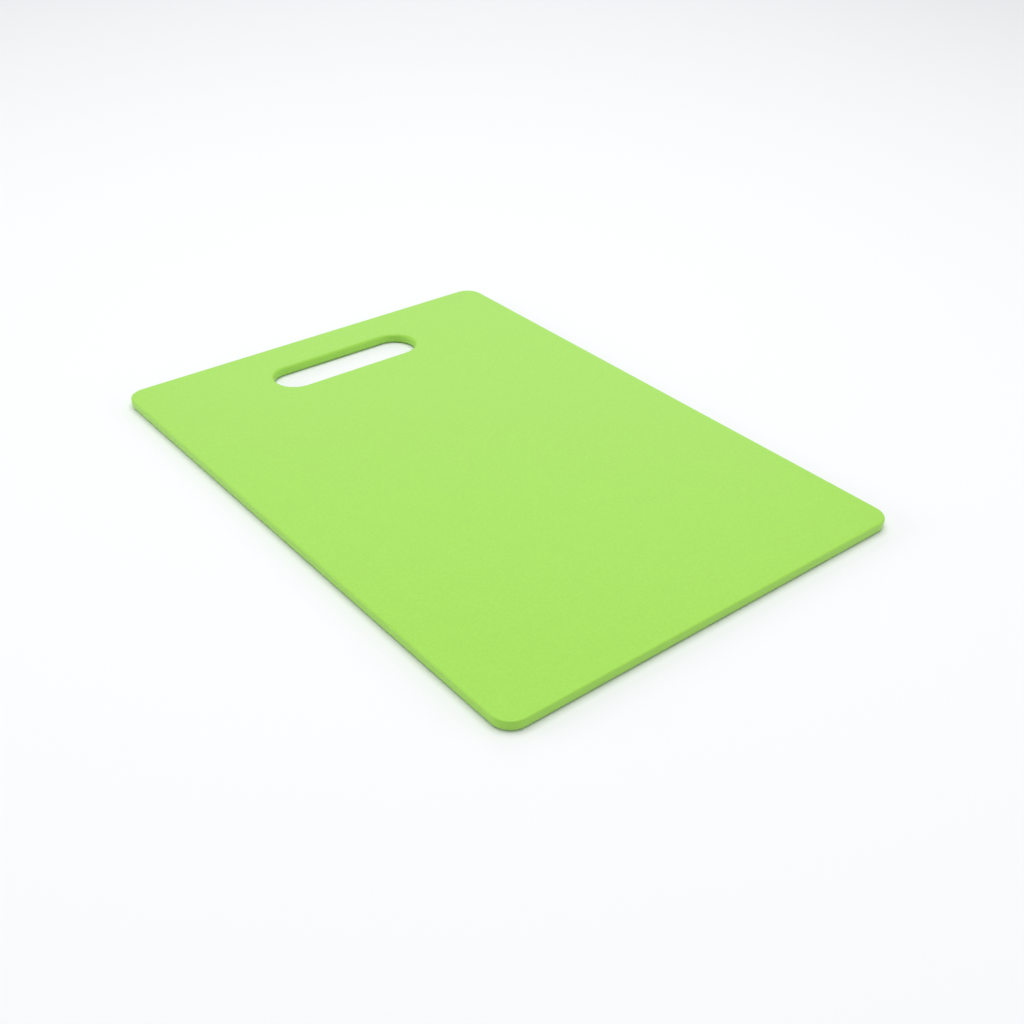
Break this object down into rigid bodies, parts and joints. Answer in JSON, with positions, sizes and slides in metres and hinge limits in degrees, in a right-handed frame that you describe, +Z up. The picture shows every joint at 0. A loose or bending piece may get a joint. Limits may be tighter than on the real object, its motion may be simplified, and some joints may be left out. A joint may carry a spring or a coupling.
{
  "type": "flexible cutting mat",
  "caption": "Thin rectangular plastic cutting mat with rounded corners, softly rounded edges and a long round-ended hand slot near a short edge.",
  "frame": {"origin": "centre of the mat's footprint, on its underside", "axes": "+Z up out of the work face; +Y along the mat's length, towards the edge with the hand slot; +X across its width"},
  "size_m": [0.25, 0.35, 0.006],
  "materials": {
    "lime_plastic": "lime green soft plastic, satin, with a fine moulded grain"
  },
  "bodies": {
    "root": {"cutting_mat": "lime_plastic"}
  },
  "joints": []
}
